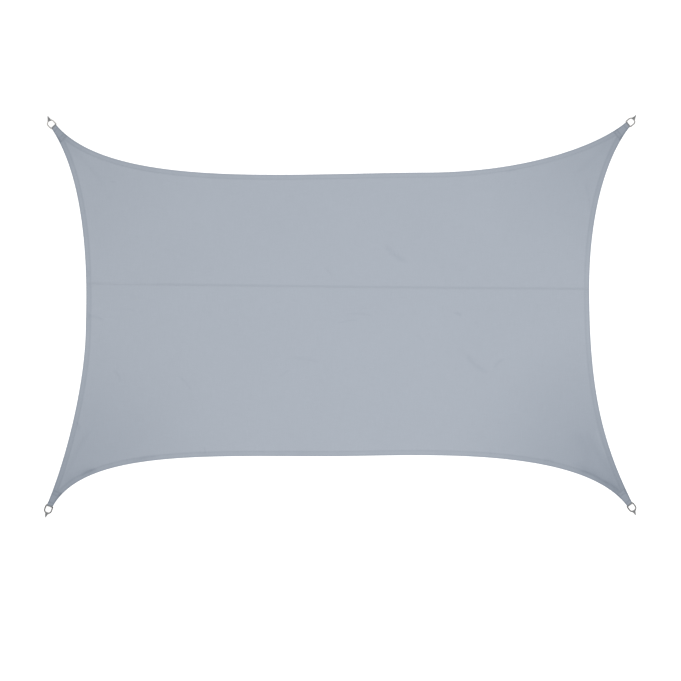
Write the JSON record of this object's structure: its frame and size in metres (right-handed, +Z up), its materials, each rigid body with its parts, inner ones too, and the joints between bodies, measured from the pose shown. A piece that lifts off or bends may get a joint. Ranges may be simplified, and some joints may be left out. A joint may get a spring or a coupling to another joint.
{
  "type": "shade sail",
  "caption": "Rectangular shade sail with hollow-cut hemmed edges, one lapped seam above the middle, and a D-ring with a dark tapered tail at every corner, lying flat.",
  "frame": {"origin": "centre of the whole outline, on the surface the sail lies on", "axes": "+X along the long sides, +Y across towards the edge nearer to the seam, +Z up, out of the face of the cloth"},
  "size_m": [3.0312, 2.0604, 0.0081],
  "materials": {
    "sail_cloth": "matt plain-woven polyester, blue-grey, with a slight sheen",
    "tab_cloth": "the same cloth doubled and cross-stitched, a shade darker",
    "ring_steel": "bright satin wire",
    "tail_cloth": "matt dark grey, stiffened"
  },
  "bodies": {
    "root": {"panel_upper": "sail_cloth", "panel_lower": "sail_cloth", "tab_top_left": "tab_cloth", "tab_top_right": "tab_cloth", "tab_bottom_left": "tab_cloth", "tab_bottom_right": "tab_cloth", "ring_top_left": "ring_steel", "ring_top_right": "ring_steel", "ring_bottom_left": "ring_steel", "ring_bottom_right": "ring_steel", "tail_top_left": "tail_cloth", "tail_top_right": "tail_cloth", "tail_bottom_left": "tail_cloth", "tail_bottom_right": "tail_cloth"}
  },
  "joints": []
}
